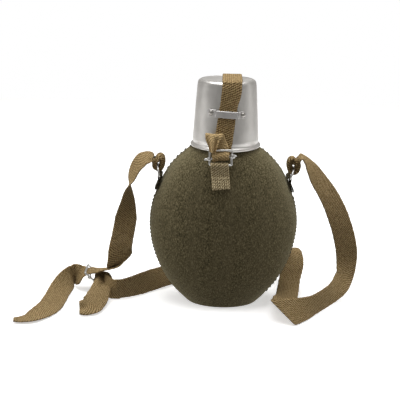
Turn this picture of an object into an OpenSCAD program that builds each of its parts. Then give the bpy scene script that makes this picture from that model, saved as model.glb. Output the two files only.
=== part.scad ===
// Felt-covered canteen with a cup lid, a buckled closure strap and a shoulder strap.
// Millimetres. The origin is the centre of the flat base, +Z is up and -Y is the front.

/* [Felt cover] */
// Half of the widest width of the cover
body_a = 84.5; // [80:0.5:86]
// Half of the deepest depth of the cover
body_b = 52; // [48:0.5:54]
// Thickness of the felt
felt_t = 3; // [2:0.5:3.5]

/* [Neck and cap] */
// Radius of the bore of the neck collar
mouth_r = 13; // [12:0.5:13.5]
// Pitch of the screw thread
thread_pitch = 4; // [3.6:0.2:4.4]
// Number of flutes round the cap
cap_flutes = 24; // [12:2:30]

/* [Cup] */
// Outer radius of the cup just above its rolled rim
cup_rim_r = 37.7; // [37:0.1:38]
// Outer radius of the cup at its closed end
cup_top_r = 32.4; // [31.5:0.1:33]
// Wall thickness of the cup
cup_wall = 0.9; // [0.6:0.1:1]

/* [Webbing] */
// Width of the shoulder strap
strap_w = 25; // [22:1:26]
// Width of the closure strap
closure_w = 19; // [17:0.5:19.5]
// Thickness of all the webbing
web_t = 1.8; // [1.4:0.1:1.9]

/* [Hardware] */
// Diameter of the steel wire of the rings, the buckle and the slider
wire_d = 2.4; // [2:0.1:2.5]
// Radius of the round side of a D-ring
ring_r = 12.5; // [12:0.5:13]

/* [Hidden] */
$fn = 48;

wire_r = wire_d / 2;
side_r = wire_r - 0.08;

// Profile of the body: two superellipse quarters above and below the widest level
wide_z = 92;
upper_span = 103.8;
lower_span = 109;
upper_power = [1.95, 2.9];
lower_power = [1.85, 2.2];
base_sine = wide_z / lower_span;
cover_gap = 0.1;
bottle_off = felt_t + 0.2;
bottle_t = 1;
round_steps = 48;

// Neck
neck_top = 199;
collar_r = 15;
collar_top = 214;
thread_depth = 1.1;
thread_low = 203.5;
thread_turns = 2;

// Cap
cap_low = 201.4;
cap_inner_r = 16.5;
cap_outer_r = 18.8;
seal_low = collar_top + 0.1;
seal_t = 2.2;
cap_ceiling = seal_low + seal_t + 0.1;
cap_top = cap_ceiling + 2.4;

// Cup
cup_low = 187;
cup_bead_r = 1.9;
cup_top = 260.4;
cup_corner = 4.5;

// Closure buckle: the hinge bar is the lower wire of the frame
buckle_x = -5.9;
buckle_low = [buckle_x, -48, 173];
buckle_high = [buckle_x, -45.5, 190];
buckle_half = 12.6;
buckle_lean = atan2(buckle_high[1] - buckle_low[1], buckle_high[2] - buckle_low[2]);
bar_low = [buckle_x - buckle_half, -47, 179.8];
bar_high = [buckle_x + buckle_half, -46.5, 183.2];

// D-rings: the straight bar lies along Y in the tab, the round side points up and out
ring_bar = [73.5, 0, 149.5];
ring_rise_left = 75;
ring_rise_right = 65;
tab_w = 20;

// Slider of the shoulder strap
slider_mid = [-157, 18, 21];
slider_half = 14.7;
slider_tilt = 43;
slider_up = 8;
slider_down = 10;
slider_eye_r = 2.4;

// Control stations of the webbing: centre x, y, z, direction of the width, and the width.
long_route = [
    [79, 0, 164.5, 0, 1, 0, 14], [78.8, 0, 168, 0, 1, 0, 14], [76.5, 0, 170.5, 0, 1, 0, 15],
    [74, 0, 168, 0, 1, 0, 15], [73.8, 0, 162, 0, 1, 0, 14], [76.5, 0, 157, 0, 1, 0, 13],
    [80.5, 0, 157.5, 0, 1, 0, 13], [82.5, 0, 163, 0, 1, 0, 15], [83, 0, 169, 0, 1, 0, 19],
    [86.5, 0, 173, 0.1, 1, 0, 23], [91, 1, 169.5, 0.2, 1, 0, 25], [97, 3, 161.5, 0.4, 1, 0.2, 25],
    [105.5, 6, 149.5, 0.7, 0.8, 0.2, 25], [124, 10, 122, 0.9, 0.5, 0.15, 25],
    [138, 13, 92, 1, 0.2, 0.1, 25], [147, 15, 62, 1, 0, 0, 25], [149, 15, 40, 1, 0.2, 0, 25],
    [145, 6, 24, 0.8, 0.6, -0.1, 25], [129, -20, 17, 0.55, 0.5, -0.65, 25],
    [103, -51, 13.5, -0.1, -0.2, -0.97, 25], [90, -63, 13.5, 0.15, -0.4, -0.9, 26],
    [78, -70, 13.8, 0.45, -0.4, -0.8, 30], [67, -74, 14, 0.7, -0.36, -0.62, 36],
    [68.5, -66, 16, 0.75, -0.3, -0.58, 33], [70, -50, 17, 0.88, -0.2, -0.35, 27],
    [74, -33, 15, 0.97, -0.1, -0.15, 25], [78, -8, 14, 1, 0, 0, 25], [82, 14, 20, 1, 0, 0.1, 25],
    [87, 30, 34, 1, 0, 0.1, 25], [85, 44, 45, 1, 0.1, -0.1, 25], [76, 54, 45, 0.9, 0.4, -0.3, 25],
    [60, 62, 34, 0.6, 0.4, -0.7, 25], [36, 66, 20, 0.2, 0.2, -1, 25], [0, 66, 14, 0, 0, -1, 25],
    [-42, 54, 13.5, 0, -0.4, -0.9, 25], [-75, 29, 12.5, -0.2, -0.8, -0.55, 25],
    [-96, 5, 13.5, -0.1, -0.4, -0.85, 25], [-112, -10, 14, 0, 0.1, -1, 25],
    [-126, -13, 13, 0, 0, -1, 24], [-137, -2, 13, 0, -0.45, -0.9, 24],
    [-144, 14, 11.6, 0.1, -0.9, -0.3, 24], [-149.5, 18, 11, 0, -1, 0, 24],
    [-152.5, 18, 14, 0, -1, 0, 24], [-149.7, 18, 17, 0, -1, 0, 23],
    [-143.5, 15, 18.5, -0.45, -0.9, 0, 20], [-140.5, 4, 17.5, -0.8, -0.6, 0, 20],
    [-142, -13, 13, -1, -0.15, 0, 24], [-143, -28, 12, -0.95, 0.3, 0.2, 25],
    [-144, -41, 11, -0.75, 0.55, 0.4, 25], [-148, -52, 9.5, -0.4, 0.75, 0.5, 25],
    [-154, -56, 8, -0.25, 0.78, 0.55, 22], [-161, -57, 7.5, -0.2, 0.75, 0.6, 18]];
short_route = [
    [-76.3, 0, 165.3, 0, -1, 0, 14], [-76, 0, 168.5, 0, -1, 0, 14], [-73.8, 0, 170.8, 0, -1, 0, 15],
    [-71.5, 0, 168.5, 0, -1, 0, 15], [-71.5, 0, 162, 0, -1, 0, 13], [-74.5, 0, 157.3, 0, -1, 0, 12],
    [-79, 0, 159.5, 0, -1, 0, 13], [-80, 0, 165, 0.2, -0.9, -0.3, 17],
    [-83, 0, 168.5, 0.3, -0.85, -0.45, 22],
    [-89, 0, 169, 0.25, -0.9, -0.3, 25], [-96, 0, 165, 0.3, -0.85, -0.4, 25],
    [-102, 0, 157, 0.35, -0.9, -0.3, 25], [-106.5, -1, 145, 0.3, -0.95, -0.1, 25],
    [-110, -3, 131, -0.25, -0.97, 0, 25], [-111, -4, 113, -0.68, -0.73, 0, 25],
    [-113, -6, 95, -0.97, -0.2, 0, 25], [-116, -8, 78, -1, 0, -0.1, 25],
    [-119, -8, 62, -0.97, 0.1, -0.25, 27], [-121, -4, 45, -0.86, 0.1, -0.52, 34],
    [-127, 4, 35, -0.55, 0.7, -0.45, 28], [-137, 10, 28.5, -0.12, 0.93, -0.35, 25],
    [-148, 17, 24, 0, 1, -0.1, 23], [-157, 18, 23.7, 0, 1, 0, 23], [-163, 18, 21.3, 0, 1, 0.1, 23],
    [-171, 21.5, 16.8, 0, 0.65, 0.75, 24], [-179, 27, 15, 0, 0, 1, 25],
    [-185, 14, 13, -0.6, 0, 0.8, 25], [-191, -6, 8, -0.9, 0, 0.4, 25],
    [-193, -28, 6, -0.93, 0, 0.33, 25], [-197, -52, 5, -0.9, 0.25, 0.25, 25],
    [-209, -74, 4, -0.5, 0.75, 0.1, 22], [-220, -81, 3, -0.3, 1, 0, 16],
    [-230, -83, 3, -0.1, 1, 0, 9]];
closure_route = [
    [8, 45, 171, 1, 0, 0, 19], [8, 43, 178, 1, 0, 0, 19], [8, 41.2, 186, 1, 0, 0, 19],
    [7.6, 39.9, 194, 1, 0, 0, 19], [7.2, 37.5, 222, 1, 0, 0, 19], [6.8, 34.8, 251, 1, 0, 0, 19],
    [6.6, 33, 258, 1, 0, 0, 21], [6.4, 28.5, 261.5, 1, 0, 0, 21], [5.8, 0, 261.8, 1, 0, 0, 21],
    [5, -28, 261.6, 1, 0.1, 0, 21], [4.7, -32.6, 258, 1, 0.1, 0, 21],
    [4.2, -34.3, 250, 1, 0.1, 0, 21], [2, -35.4, 238, 1, 0.05, 0.1, 19],
    [0.4, -36.1, 227, 1, 0, 0.1, 19], [-1.5, -37.6, 212, 1, 0, 0.1, 19],
    [-3, -39.2, 199, 1, 0, 0.1, 19], [-4.4, -40.9, 190, 1, 0, 0.1, 19],
    [-5.2, -41.9, 185, 1, 0, 0.13, 18], [-5.8, -43.6, 180.5, 1, 0, 0.13, 18],
    [-5.9, -46.3, 178.5, 1, 0, 0.13, 18], [-5.9, -49, 181, 1, 0, 0.13, 18],
    [-6.2, -48.5, 184.3, 1, 0, 0.13, 18], [-6.5, -45.8, 185.9, 1, 0, 0.1, 18],
    [-6.8, -43.4, 187.8, 1, 0, 0.1, 18], [-7.2, -43, 191.4, 1, 0, 0.1, 18],
    [-10, -42.4, 197, 1, 0, 0, 19], [-12.8, -42.2, 203.3, 1, 0, 0, 19],
    [-13.6, -43.8, 206, 1, 0, 0, 19], [-14.2, -45.8, 204.8, 1, 0, 0, 18.5],
    [-15, -47, 201.5, 1, 0, 0, 15.5], [-14.7, -48.3, 196, 1, 0, 0, 11],
    [-14.8, -49.4, 191, 1, 0, 0, 7.5], [-14.9, -49.6, 187.5, 1, 0, 0, 6.5]];

// Half-width (axis 0) and half-depth (axis 1) of the body at a given sine of height
function span_part(sine, power) = pow(max(0, 1 - pow(sine, power)), 1 / power);
function body_half(sine, off, axis) =
    ((axis == 0 ? body_a : body_b) - off)
    * (sine >= 0 ? span_part(sine, upper_power[axis]) : span_part(-sine, lower_power[axis]));
function body_level(sine, off) =
    wide_z + sine * (sine >= 0 ? upper_span - off : lower_span - off);

// The same half-width or half-depth, looked up by height on the outside of the cover
function sine_at(z) = z >= wide_z ? (z - wide_z) / upper_span : (z - wide_z) / lower_span;
function half_at(z, axis) = body_half(sine_at(z), 0, axis);

// Levels of the body, bottom to top, as [half-width, half-depth, height]
cover_sines = concat(
    [for (k = [0 : 8]) -base_sine * cos(k * 90 / 8)],
    [for (k = [1 : 12]) 0.97 * sin(k * 90 / 12)]);
bottle_sines = concat(
    [for (k = [0 : 8]) -base_sine * cos(k * 90 / 8)],
    [for (k = [1 : 10]) 0.95 * sin(k * 90 / 10)]);
function levels(sines, off) =
    [for (s = sines) [body_half(s, off, 0), body_half(s, off, 1), body_level(s, off)]];
function neck_levels(wall) =
    [for (n = [[19.6, 188.9], [16.6, 190.3], [15.2, 192.2], [collar_r, neck_top]])
        [n[0] - wall, n[0] - wall, n[1]]];
function ring(level, from, to, steps, shift) =
    [for (k = [0 : steps]) let (a = from + (to - from) * k / steps)
        [level[0] * cos(a), level[1] * sin(a) + shift, level[2]]];

// Two triangles for each cell of a grid of points; rows and columns count the points
function grid_faces(rows, cols, start, flip) =
    [for (i = [0 : rows - 2], j = [0 : cols - 2])
        let (p = start + i * cols + j, q = p + 1, r = p + cols, s = r + 1)
        each flip ? [[p, r, q], [q, r, s]] : [[p, q, r], [q, s, r]]];

// Half of the felt cover between two surfaces, open at the neck and cut flat at the side seams
module felt_half(from, to, shift) {
    steps = round_steps / 2;
    cols = steps + 1;
    outer = levels(cover_sines, 0);
    inner = levels(cover_sines, felt_t);
    rows = len(outer);
    n = rows * cols;
    pts = concat(
        [for (l = outer) each ring(l, from, to, steps, shift)],
        [for (l = inner) each ring(l, from, to, steps, shift)],
        [[0, shift, outer[0][2]], [0, shift, inner[0][2]]]);
    rim = (rows - 1) * cols;
    faces = concat(
        grid_faces(rows, cols, 0, true),
        grid_faces(rows, cols, n, false),
        [for (j = [0 : steps - 1]) each
            [[rim + j, n + rim + j, rim + j + 1], [rim + j + 1, n + rim + j, n + rim + j + 1],
             [2 * n, j, j + 1], [2 * n + 1, n + j + 1, n + j]]],
        [for (i = [0 : rows - 2]) let (p = i * cols, q = p + cols) each
            [[p, n + p, q], [q, n + p, n + q],
             [p + steps, q + steps, n + p + steps], [q + steps, n + q + steps, n + p + steps]]],
        [[2 * n, 2 * n + 1, 0], [0, 2 * n + 1, n],
         [2 * n, steps, 2 * n + 1], [steps, n + steps, 2 * n + 1]]);
    polyhedron(points = pts, faces = faces);
}

module cover_front() {
    color("#5a5340") felt_half(180, 360, -cover_gap);
}

module cover_back() {
    color("#544e3c") felt_half(0, 180, cover_gap);
}

// Thin drawn bottle with a closed bottom and an open neck
module bottle_shell() {
    outer = concat(levels(bottle_sines, bottle_off), neck_levels(0));
    inner = concat(levels(bottle_sines, bottle_off + bottle_t), neck_levels(bottle_t));
    steps = round_steps;
    rows = len(outer);
    n = rows * steps;
    pts = concat(
        [for (l = outer, k = [0 : steps - 1]) ring(l, 0, 360, steps, 0)[k]],
        [for (l = inner, k = [0 : steps - 1]) ring(l, 0, 360, steps, 0)[k]],
        [[0, 0, outer[0][2]], [0, 0, inner[0][2]]]);
    rim = (rows - 1) * steps;
    faces = concat(
        [for (i = [0 : rows - 2], j = [0 : steps - 1])
            let (k = (j + 1) % steps, p = i * steps + j, q = i * steps + k, r = p + steps, s = q + steps)
            each [[p, r, q], [q, r, s], [n + p, n + q, n + r], [n + q, n + s, n + r]]],
        [for (j = [0 : steps - 1]) let (k = (j + 1) % steps) each
            [[rim + j, n + rim + j, rim + k], [rim + k, n + rim + j, n + rim + k],
             [2 * n, j, k], [2 * n + 1, n + k, n + j]]]);
    color("#b9bab8") polyhedron(points = pts, faces = faces);
}

// Helical rib of trapezoid section between a root radius and a crest radius
module thread_rib(root, crest, low, turns) {
    per_turn = 24;
    steps = per_turn * turns;
    root_half = 0.8;
    crest_half = 0.4;
    section = [[root, -root_half], [crest, -crest_half], [crest, crest_half], [root, root_half]];
    pts = [for (k = [0 : steps], c = section)
        let (a = 360 * k / per_turn, z = low + thread_pitch * k / per_turn)
        [c[0] * cos(a), c[0] * sin(a), z + c[1]]];
    out = crest > root;
    sides = [for (k = [0 : steps - 1], j = [0 : 3])
        let (m = (j + 1) % 4, p = 4 * k + j, q = 4 * k + m)
        each out ? [[p, q, p + 4], [q, q + 4, p + 4]] : [[p, p + 4, q], [q, p + 4, q + 4]]];
    last = 4 * steps;
    ends = out
        ? [[3, 2, 1, 0], [last, last + 1, last + 2, last + 3]]
        : [[0, 1, 2, 3], [last + 3, last + 2, last + 1, last]];
    polyhedron(points = pts, faces = concat(sides, ends));
}

module neck_collar() {
    foot_r = collar_r + 1.7;
    foot_t = 1.6;
    lip = 0.6;
    low = neck_top + 0.05;
    color("#a9aaa8") union() {
        rotate_extrude()
            polygon([[mouth_r, low], [foot_r, low], [foot_r, low + foot_t], [collar_r, low + foot_t],
                [collar_r, collar_top - lip], [collar_r - lip, collar_top], [mouth_r, collar_top]]);
        thread_rib(collar_r - 0.4, collar_r + thread_depth, thread_low, thread_turns);
    }
}

module cap_seal() {
    color("#2b2a28") translate([0, 0, seal_low]) cylinder(r = cap_inner_r - 0.6, h = seal_t);
}

module screw_cap() {
    chamfer = 1.4;
    flute_r = 1.1;
    color("#3c3a36") union() {
        difference() {
            rotate_extrude()
                polygon([[cap_inner_r, cap_low], [cap_outer_r, cap_low],
                    [cap_outer_r, cap_top - chamfer], [cap_outer_r - chamfer, cap_top],
                    [0, cap_top], [0, cap_ceiling], [cap_inner_r, cap_ceiling]]);
            for (k = [0 : cap_flutes - 1])
                rotate([0, 0, 360 * k / cap_flutes])
                    translate([cap_outer_r + 0.4, 0, cap_low - 1])
                        cylinder(r = flute_r, h = cap_top - cap_low - chamfer, $fn = 24);
        }
        thread_rib(cap_inner_r + 0.4, cap_inner_r - thread_depth, thread_low + thread_pitch / 2,
            thread_turns - 0.25);
    }
}

// Whip stitches over a side seam; the ring tab covers a stretch of it
module seam_stitches(side) {
    stitch_r = 0.5;
    stitch_len = 6;
    pitch = 5.2;
    first = 14;
    last = 181;
    tab_low = 128;
    tab_high = 156;
    for (z = [first : pitch : last])
        if (z < tab_low || z > tab_high)
            translate([side * (half_at(z, 0) + stitch_r + 0.2), 0, z])
                rotate([90 + 25, 0, 0])
                    cylinder(r = stitch_r, h = stitch_len, center = true, $fn = 16);
}

module seam_stitches_left() {
    color("#3d3828") seam_stitches(-1);
}

module seam_stitches_right() {
    color("#3d3828") seam_stitches(1);
}

// Outer radius of the cup's wall at a height
function cup_r(z) = cup_rim_r + (cup_top_r - cup_rim_r) * (z - cup_low) / (cup_top - cup_low);

// Corner arc between the wall and the closed end
function cup_corner_arc(r, z, size) =
    [for (k = [0 : 6]) [r - size + size * cos(k * 15), z - size + size * sin(k * 15)]];

module cup_shell() {
    outer_arc = cup_corner_arc(cup_top_r, cup_top, cup_corner);
    inner_arc = cup_corner_arc(cup_top_r - cup_wall, cup_top - cup_wall, cup_corner - cup_wall);
    bead = [for (k = [-2 : 3])
        [cup_rim_r + cup_bead_r * cos(k * 30), cup_low + cup_bead_r * sin(k * 30)]];
    color("#c9cac8") rotate_extrude($fn = 96)
        polygon(concat(
            [[cup_rim_r - cup_wall, cup_low - cup_bead_r * sin(60)]],
            bead,
            outer_arc,
            [[0, cup_top], [0, cup_top - cup_wall]],
            [for (k = [len(inner_arc) - 1 : -1 : 0]) inner_arc[k]]));
}

// Bracket on the cup: two feet, two steps and a raised bridge for the closure strap
bracket_z = 226.7;
bracket_h = 7.5;
bracket_t = 1.1;
bridge_gap = 3.3;
rivet_turn = 29;
function fan(r, from, to) = [for (k = [0 : 6]) let (a = from + (to - from) * k / 6) r * [sin(a), -cos(a)]];
module cup_bracket() {
    wall_lean = atan2(cup_rim_r - cup_top_r, cup_top - cup_low);
    r = cup_r(bracket_z) + 0.35;
    half_span = 37;
    step = 19;
    bridge = 18;
    color("#9a9b99") translate([0, 0, bracket_z]) rotate([-wall_lean, 0, 0])
        linear_extrude(height = bracket_h, center = true)
            polygon(concat(
                fan(r, -half_span, -step), fan(r + bridge_gap, -bridge, bridge), fan(r, step, half_span),
                fan(r + bracket_t, half_span, step + 1.5),
                fan(r + bridge_gap + bracket_t, bridge + 1.5, -bridge - 1.5),
                fan(r + bracket_t, -step - 1.5, -half_span)));
}

// Dome-headed rivets with their set tails inside the cup
module cup_rivets() {
    head_r = 2.6;
    shank_r = 1.2;
    tail_r = 2;
    r = cup_r(bracket_z);
    color("#b4b5b3") for (side = [-1, 1])
        translate([0, 0, bracket_z]) rotate([90, 0, side * rivet_turn]) {
            translate([0, 0, r + 0.35 + bracket_t + 0.05])
                intersection() {
                    translate([0, 0, -1.4]) sphere(r = 3, $fn = 32);
                    cylinder(r = head_r, h = 3, $fn = 32);
                }
            translate([0, 0, r - cup_wall - 0.6]) cylinder(r = shank_r, h = 3, $fn = 24);
            translate([0, 0, r - cup_wall - 1.1]) cylinder(r = tail_r, h = 0.8, $fn = 24);
        }
}

// Smooth curve through a list of vectors, n pieces to each span
function spline(p, n) = concat(
    [for (i = [0 : len(p) - 2])
        let (a = p[max(i - 1, 0)], b = p[i], c = p[i + 1], d = p[min(i + 2, len(p) - 1)])
        for (k = [0 : n - 1]) let (t = k / n)
            (2 * b + (c - a) * t + (2 * a - 5 * b + 4 * c - d) * t * t
                + (3 * b - a - 3 * c + d) * t * t * t) / 2],
    [p[len(p) - 1]]);
function unit(v) = v / norm(v);
function head(s) = [s[0], s[1], s[2]];
function across(s) = [s[3], s[4], s[5]];

// Four corners of a band's section at point i of a smooth list of stations. A row wider than the
// strap runs along a slanting fold, so it keeps its own direction.
function band_section(s, i, thick) =
    let (last = len(s) - 1,
        run = unit(head(s[min(i + 1, last)]) - head(s[max(i - 1, 0)])),
        w = unit(across(s[i])),
        slant = min(1, max(0, s[i][6] / strap_w - 1) / 0.2),
        side = unit(w - (1 - slant) * (w * run) * run),
        out = unit(cross(run, side)),
        h = s[i][6] / 2)
    [for (c = [[-1, -1], [1, -1], [1, 1], [-1, 1]])
        head(s[i]) + side * h * c[0] + out * thick / 2 * c[1]];

// Webbing band swept through its stations
module band(route, thick, n) {
    s = spline(route, n);
    pts = [for (i = [0 : len(s) - 1]) each band_section(s, i, thick)];
    last = 4 * (len(s) - 1);
    sides = [for (i = [0 : len(s) - 2], j = [0 : 3])
        let (p = 4 * i + j, q = 4 * i + (j + 1) % 4)
        each [[p, p + 4, q], [q, p + 4, q + 4]]];
    polyhedron(points = pts, faces = concat(sides,
        [[0, 1, 2], [0, 2, 3], [last, last + 2, last + 1], [last, last + 3, last + 2]]));
}

module strap_long() {
    color("#8c7650") band(long_route, web_t, 3);
}

module strap_short() {
    color("#8c7650") band(short_route, web_t, 3);
}

module closure_strap() {
    color("#7d6238") band(closure_route, web_t, 2);
}

// Flat outline of a strip of even thickness along a path of points in a plane
function strip_side(path, offset) =
    [for (i = [0 : len(path) - 1])
        let (run = unit(path[min(i + 1, len(path) - 1)] - path[max(i - 1, 0)]))
        path[i] + offset * [-run[1], run[0]]];
function strip_outline(path, thick) =
    let (a = strip_side(path, thick / 2), b = strip_side(path, -thick / 2))
    concat(a, [for (i = [len(b) - 1 : -1 : 0]) b[i]]);
function arc(mid, r, from, to, steps) =
    [for (k = [0 : steps]) let (a = from + (to - from) * k / steps) mid + r * [cos(a), sin(a)]];

// Sewn end of the closure strap, lying on the back of the cover
anchor_x = 8;
anchor_low = 112;
anchor_high = 169;
module closure_anchor() {
    path = [for (z = [anchor_low : 3 : anchor_high]) [half_at(z, 1) + 0.3 + web_t / 2, z]];
    color("#7d6238") translate([anchor_x - closure_w / 2, 0, 0])
        rotate([90, 0, 90]) linear_extrude(height = closure_w)
            polygon(strip_outline(path, web_t));
}

module anchor_stitches() {
    stitch_r = 0.35;
    stitch_len = 2.6;
    rows = [114, 120, 126, 132];
    color("#c9bb90") for (z = rows, k = [-2 : 2])
        translate([anchor_x + 3.6 * k, half_at(z, 1) + 0.3 + web_t + 0.2, z])
            rotate([0, 90, 0]) cylinder(r = stitch_r, h = stitch_len, center = true, $fn = 12);
}

// Webbing loop round the hinge bar of the closure buckle, sewn to the front of the cover
tab_low = 147;
tab_slant = 0.1;
loop_r = wire_r + 0.3 + web_t / 2;
module tab_lean() {
    multmatrix([[1, 0, -tab_slant, buckle_x - 1.2 + tab_slant * buckle_low[2]], [0, 1, 0, 0], [0, 0, 1, 0]])
        children();
}

module buckle_tab() {
    bar = [buckle_low[1], buckle_low[2]];
    inner = [for (z = [tab_low + 3 : 3 : 162]) [-half_at(z, 1) - 0.4 - web_t / 2, z]];
    outer = [for (z = [162 : -3 : tab_low]) [-half_at(z, 1) - 0.7 - 1.5 * web_t, z]];
    path = concat(inner, [[-46.2, 168]], arc(bar, loop_r, -10, 190, 8), outer);
    color("#8d7440") tab_lean() translate([-closure_w / 2, 0, 0]) rotate([90, 0, 90])
        linear_extrude(height = closure_w) polygon(strip_outline(path, web_t));
}

module buckle_tab_stitches() {
    stitch_r = 0.35;
    stitch_len = 2.4;
    color("#c9bb90") tab_lean() for (z = [153, 159], k = [-2 : 2])
        translate([3.6 * k, -half_at(z, 1) - 0.7 - 2 * web_t - 0.25, z])
            rotate([0, 90, 0]) cylinder(r = stitch_r, h = stitch_len, center = true, $fn = 12);
}

// Round rod between two points
module rod(p, q, r) {
    v = q - p;
    translate(p) rotate([0, acos(v[2] / norm(v)), atan2(v[1], v[0])]) cylinder(r = r, h = norm(v));
}

// Rectangular wire frame in the XZ plane: two bars along X, joined by slightly thinner side wires
module wire_frame(half, low, high) {
    for (z = [low, high])
        translate([-half - wire_r, 0, z]) rotate([0, 90, 0]) cylinder(r = wire_r, h = 2 * (half + wire_r));
    for (x = [-half, half])
        translate([x, 0, low]) cylinder(r = side_r, h = high - low);
}

module buckle_frame() {
    color("#a3a4a2") translate(buckle_low) rotate([-buckle_lean, 0, 0])
        wire_frame(buckle_half, 0, norm(buckle_high - buckle_low));
}

// Sliding bar: a rod that joins two eyes, each running on a side wire of the frame
module eye(mid, lean, r, h) {
    translate(mid) rotate([-lean, 0, 0]) cylinder(r = r, h = h, center = true);
}
module eye_hole(mid, lean, h) {
    translate(mid) rotate([-lean, 0, 0]) cylinder(r = wire_r + 0.25, h = h, center = true);
}
module buckle_bar() {
    run = unit(bar_high - bar_low);
    color("#b3b4b2") difference() {
        union() {
            rod(bar_low - run * 5.4, bar_high + run * 4.8, wire_r * 0.9);
            eye(bar_low, buckle_lean, 2.7, 3);
            eye(bar_high, buckle_lean, 3.1, 3.8);
        }
        eye_hole(bar_low, buckle_lean, 12);
        eye_hole(bar_high, buckle_lean, 12);
    }
}

// Webbing tab round the straight bar of a D-ring, sewn over the side seam
module ring_tab(side) {
    low = 133;
    bar = [ring_bar[0], ring_bar[2]];
    inner = [for (z = [low + 1 : 3 : 143]) [half_at(z, 0) + 0.9 + web_t / 2, z]];
    outer = [for (z = [143 : -3 : low]) [half_at(z, 0) + 1.2 + 1.5 * web_t, z]];
    path = concat(inner, arc(bar, loop_r, 200, 0, 8), outer);
    color("#8d7440") mirror([side < 0 ? 1 : 0, 0, 0])
        translate([0, tab_w / 2, 0]) rotate([90, 0, 0])
            linear_extrude(height = tab_w) polygon(strip_outline(path, web_t));
}

module ring_tab_left() {
    ring_tab(-1);
}

module ring_tab_right() {
    ring_tab(1);
}

module ring_tab_stitches() {
    stitch_r = 0.35;
    stitch_len = 2.6;
    z = 138;
    color("#c9bb90") for (side = [-1, 1], k = [-2 : 2], row = [-2, 2])
        translate([side * (half_at(z + row, 0) + 1.2 + 2 * web_t + 0.3), 3.8 * k, z + row])
            rotate([90, 0, 0]) cylinder(r = stitch_r, h = stitch_len, center = true, $fn = 12);
}

// D-ring: half a torus closed by a slightly thicker straight bar
module d_ring(side, rise) {
    color("#9fa09e") translate([side * ring_bar[0], 0, ring_bar[2]])
        rotate([0, side > 0 ? -rise : rise - 180, 0]) {
            rotate([90, 0, 0]) cylinder(r = wire_r, h = 2 * (ring_r + wire_r), center = true);
            rotate([0, 0, -90]) rotate_extrude(angle = 180) translate([ring_r, 0, 0]) circle(r = side_r);
        }
}

module ring_left() {
    d_ring(-1, ring_rise_left);
}

module ring_right() {
    d_ring(1, ring_rise_right);
}

// Threads that close the strap's loop above each D-ring
module strap_stitches(x, z, turn, length) {
    stitch_r = 0.4;
    color("#6f5c3a") for (k = [-1 : 1])
        translate([x, 3.4 * k, z]) rotate([0, 90 + turn, 0])
            cylinder(r = stitch_r, h = length, center = true, $fn = 12);
}

module strap_stitches_left() {
    strap_stitches(-78, 170, -4, 10);
}

module strap_stitches_right() {
    strap_stitches(80.5, 169, 0, 6.5);
}

// Slider of the shoulder strap: a wire frame and a bar with eyes on its side wires
module slider_frame() {
    color("#a3a4a2") translate(slider_mid) rotate([0, slider_tilt - 90, 0]) rotate([0, 0, 90])
        wire_frame(slider_half, -slider_down, slider_up);
}

module slider_bar() {
    across_y = [0, slider_half, 0];
    color("#b3b4b2") difference() {
        union() {
            rod(slider_mid - across_y, slider_mid + across_y, wire_r * 0.9);
            for (s = [-1, 1])
                translate(slider_mid + s * across_y) rotate([0, 90 + slider_tilt, 0])
                    cylinder(r = slider_eye_r, h = 3, center = true);
        }
        for (s = [-1, 1])
            translate(slider_mid + s * across_y) rotate([0, 90 + slider_tilt, 0])
                cylinder(r = wire_r + 0.25, h = 12, center = true);
    }
}

bottle_shell();
neck_collar();
cap_seal();
screw_cap();
cover_front();
cover_back();
seam_stitches_left();
seam_stitches_right();
cup_shell();
cup_bracket();
cup_rivets();
closure_strap();
closure_anchor();
anchor_stitches();
buckle_tab();
buckle_tab_stitches();
buckle_frame();
buckle_bar();
ring_tab_left();
ring_tab_right();
ring_tab_stitches();
ring_left();
ring_right();
strap_short();
strap_long();
strap_stitches_left();
strap_stitches_right();
slider_frame();
slider_bar();
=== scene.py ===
import bpy
import math
import random
from mathutils import Matrix, Vector, noise


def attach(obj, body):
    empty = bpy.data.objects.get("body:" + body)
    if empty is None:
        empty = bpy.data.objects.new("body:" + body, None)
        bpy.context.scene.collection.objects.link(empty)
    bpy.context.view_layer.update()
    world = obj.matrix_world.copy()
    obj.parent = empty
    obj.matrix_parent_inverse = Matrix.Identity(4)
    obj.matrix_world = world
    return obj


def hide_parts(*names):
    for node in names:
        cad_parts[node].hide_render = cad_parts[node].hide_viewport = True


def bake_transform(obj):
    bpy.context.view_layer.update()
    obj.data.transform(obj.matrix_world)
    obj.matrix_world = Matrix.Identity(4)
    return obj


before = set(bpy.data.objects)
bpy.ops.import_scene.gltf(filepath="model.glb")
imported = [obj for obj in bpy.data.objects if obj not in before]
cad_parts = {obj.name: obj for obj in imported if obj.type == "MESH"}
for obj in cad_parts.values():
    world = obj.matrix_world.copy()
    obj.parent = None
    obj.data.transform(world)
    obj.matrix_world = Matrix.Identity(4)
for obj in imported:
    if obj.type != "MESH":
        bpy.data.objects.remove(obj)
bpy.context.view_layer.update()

MM = 0.001
ROLLER = random.Random(7)

# ---------------- numbers shared with the CAD, in mm and degrees

BODY_A = 84.5
BODY_B = 52.0
FELT_T = 3.0
WIDE_Z = 92.0
UPPER_SPAN = 103.8
LOWER_SPAN = 109.0
UPPER_POWER = (1.95, 2.9)
LOWER_POWER = (1.85, 2.2)
BASE_SINE = WIDE_Z / LOWER_SPAN
NECK_SINE = 0.97

WEB_T = 1.8
STRAP_W = 25.0
CLOSURE_W = 19.0
WIRE_R = 1.2

CUP_LOW = 187.0
CUP_TOP = 260.4
CUP_RIM_R = 37.7
CUP_TOP_R = 32.4

BRACKET_Z = 226.7
BRACKET_T = 1.1

BUCKLE_X = -5.9
BUCKLE_LOW = Vector((BUCKLE_X, -48, 173))
BUCKLE_HIGH = Vector((BUCKLE_X, -45.5, 190))
BUCKLE_HALF = 12.6
BAR_LOW = Vector((-18.5, -47, 179.8))
BAR_HIGH = Vector((6.7, -46.5, 183.2))

RING_BAR = Vector((73.5, 0, 149.5))
RING_R = 12.5
RING_RISE = {"left": 75.0, "right": 65.0}

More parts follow.
